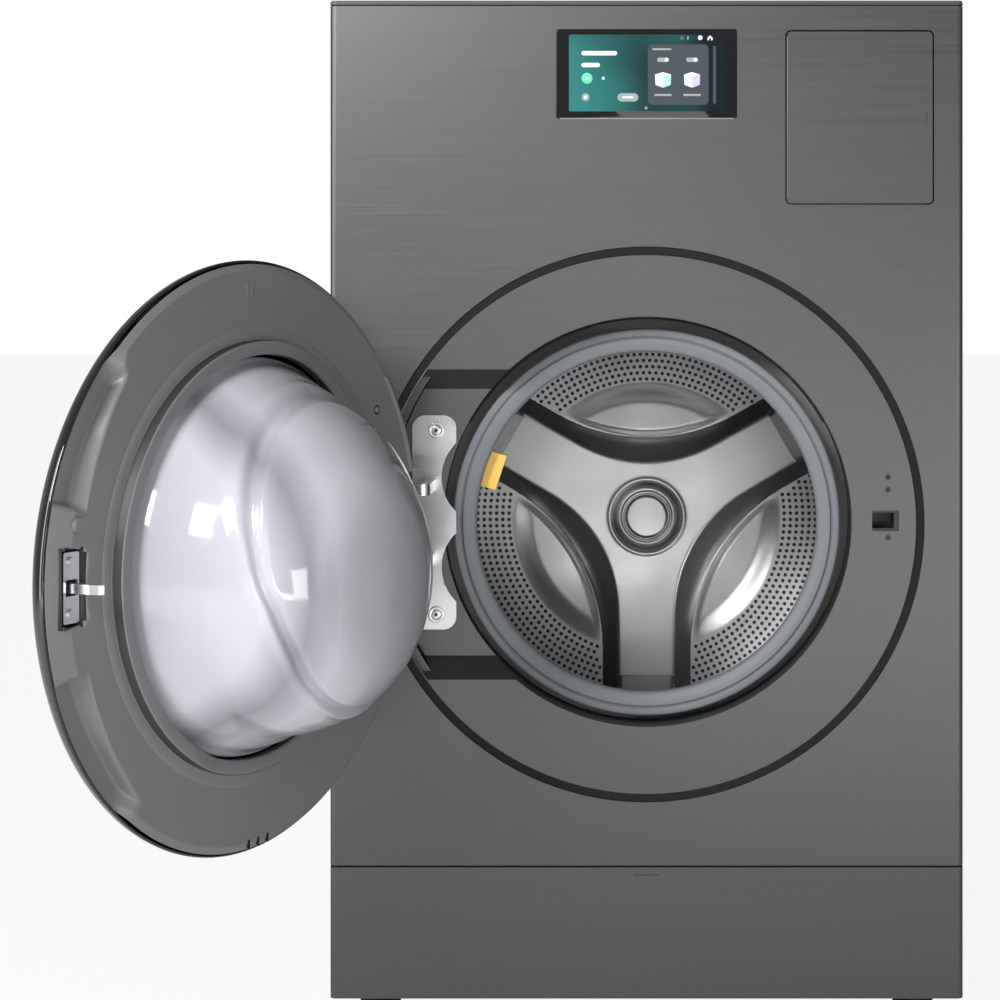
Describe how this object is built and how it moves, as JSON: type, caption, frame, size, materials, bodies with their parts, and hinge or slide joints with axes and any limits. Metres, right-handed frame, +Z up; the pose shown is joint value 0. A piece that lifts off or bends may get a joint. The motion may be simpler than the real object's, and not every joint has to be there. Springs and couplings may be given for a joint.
{
  "type": "washer dryer stack",
  "caption": "Tall front-loading washer-dryer with a round glass door standing open, a touch display, a filter door and a full-width dosing drawer",
  "frame": {"origin": "on the floor under the middle of the front left levelling foot", "axes": "+Z up, -Y out of the front towards the user, +X to the right as the user faces the front"},
  "size_m": [0.8705, 1.2894, 1.11],
  "materials": {
    "inox_front": "fine horizontal brushing, dark tint",
    "case_paint": "satin powder coat",
    "zinc_sheet": "plain zinc-coated sheet",
    "dark_frame": "satin coat",
    "grey_rubber": "matte moulded",
    "black_rubber": "matte",
    "stainless": "bright rolled sheet",
    "bright_steel": "machined",
    "grey_plastic": "fine grain",
    "dark_plastic": "fine grain",
    "gloss_black": "polished",
    "white_plastic": "moulded",
    "clear_glass": "polished pressed glass",
    "tinted_glass": "polished tinted glass",
    "amber_lens": "translucent moulded",
    "weight_cast": "rough cast concrete",
    "cast_metal": "black coat",
    "copper_coil": "drawn copper",
    "fin_metal": "thin fins",
    "screen_face": "lit screen",
    "valve_plastic": "moulded",
    "filter_green": "moulded frame with mesh",
    "lid_blue": "moulded"
  },
  "bodies": {
    "cabinet": {"base_pan": "zinc_sheet", "feet": "black_rubber", "left_side_panel": "case_paint", "right_side_panel": "case_paint", "rear_panel": "zinc_sheet", "rear_cover": "zinc_sheet", "top_cover": "case_paint", "front_panel": "inox_front", "door_seat": "inox_front", "inner_frame": "zinc_sheet", "drawer_rails": "bright_steel", "door_gasket": "grey_rubber", "gasket_band": "bright_steel", "drum_lamp": "amber_lens", "door_lock": "dark_plastic", "seat_screws": "bright_steel", "hinge_plate": "bright_steel", "hinge_arms": "bright_steel", "hinge_pins": "bright_steel", "tub_front": "white_plastic", "tub_rear": "white_plastic", "counterweights": "weight_cast", "bearings": "bright_steel", "motor_stator": "copper_coil", "springs": "bright_steel", "dampers": "dark_plastic", "drain_pump": "white_plastic", "inlet_valves": "valve_plastic", "power_inlet": "dark_plastic", "upper_tray": "white_plastic", "compressor": "cast_metal", "heat_exchangers": "fin_metal", "fan_housing": "white_plastic", "lint_filter": "filter_green", "display_glass": "tinted_glass", "display_screen": "screen_face", "control_board": "dark_plastic"},
    "door": {"door_rim": "gloss_black", "door_glass": "tinted_glass", "door_trim": "grey_plastic", "glass_bowl": "clear_glass", "bowl_bezel": "grey_plastic", "door_hinge_leaf": "bright_steel", "latch_plate": "bright_steel", "door_screws": "bright_steel", "door_pusher": "grey_plastic"},
    "latch": {"latch_hook": "bright_steel"},
    "drum": {"drum_shell": "stainless", "drum_back": "stainless", "drum_star": "stainless", "star_cap": "stainless", "lifters": "dark_plastic", "drum_shaft": "cast_metal", "motor_rotor": "zinc_sheet"},
    "drawer": {"drawer_front": "inox_front", "drawer_box": "white_plastic"},
    "detergent_flap": {"detergent_lid": "lid_blue"},
    "softener_flap": {"softener_lid": "lid_blue"},
    "filter_panel": {"filter_door": "inox_front"},
    "fan": {"fan_wheel": "dark_plastic"}
  },
  "joints": [
    {"name": "door_hinge", "type": "hinge", "parent": "cabinet", "child": "door", "pos_m": [0.031, -0.095, 0.543], "axis": [0, 0, 1], "range_deg": [-8, 116.5]},
    {"name": "latch_pivot", "type": "hinge", "parent": "door", "child": "latch", "pos_m": [-0.19521, -0.55768, 0.543], "axis": [0, 0, 1], "range_deg": [-6, 0], "stiffness_Nm_per_rad": 1.5},
    {"name": "drum_spin", "type": "hinge", "parent": "cabinet", "child": "drum", "pos_m": [0.297, -0.01, 0.5415], "axis": [0, 0.9954, -0.0958], "continuous": true},
    {"name": "drawer_slide", "type": "slide", "parent": "cabinet", "child": "drawer", "axis": [0, -1, 0], "range_m": [0, 0.28]},
    {"name": "detergent_flap_hinge", "type": "hinge", "parent": "drawer", "child": "detergent_flap", "pos_m": [0.218, 0.058, 0.119], "axis": [-1, 0, 0], "range_deg": [0, 90]},
    {"name": "softener_flap_hinge", "type": "hinge", "parent": "drawer", "child": "softener_flap", "pos_m": [0.376, 0.058, 0.119], "axis": [-1, 0, 0], "range_deg": [0, 90]},
    {"name": "filter_hinge", "type": "hinge", "parent": "cabinet", "child": "filter_panel", "pos_m": [0.4497, -0.0689, 0.9835], "axis": [0, 0, 1], "range_deg": [-95, 0]},
    {"name": "fan_spin", "type": "hinge", "parent": "cabinet", "child": "fan", "pos_m": [0.53, 0.505, 0.93], "axis": [0, 0, 1], "continuous": true}
  ]
}
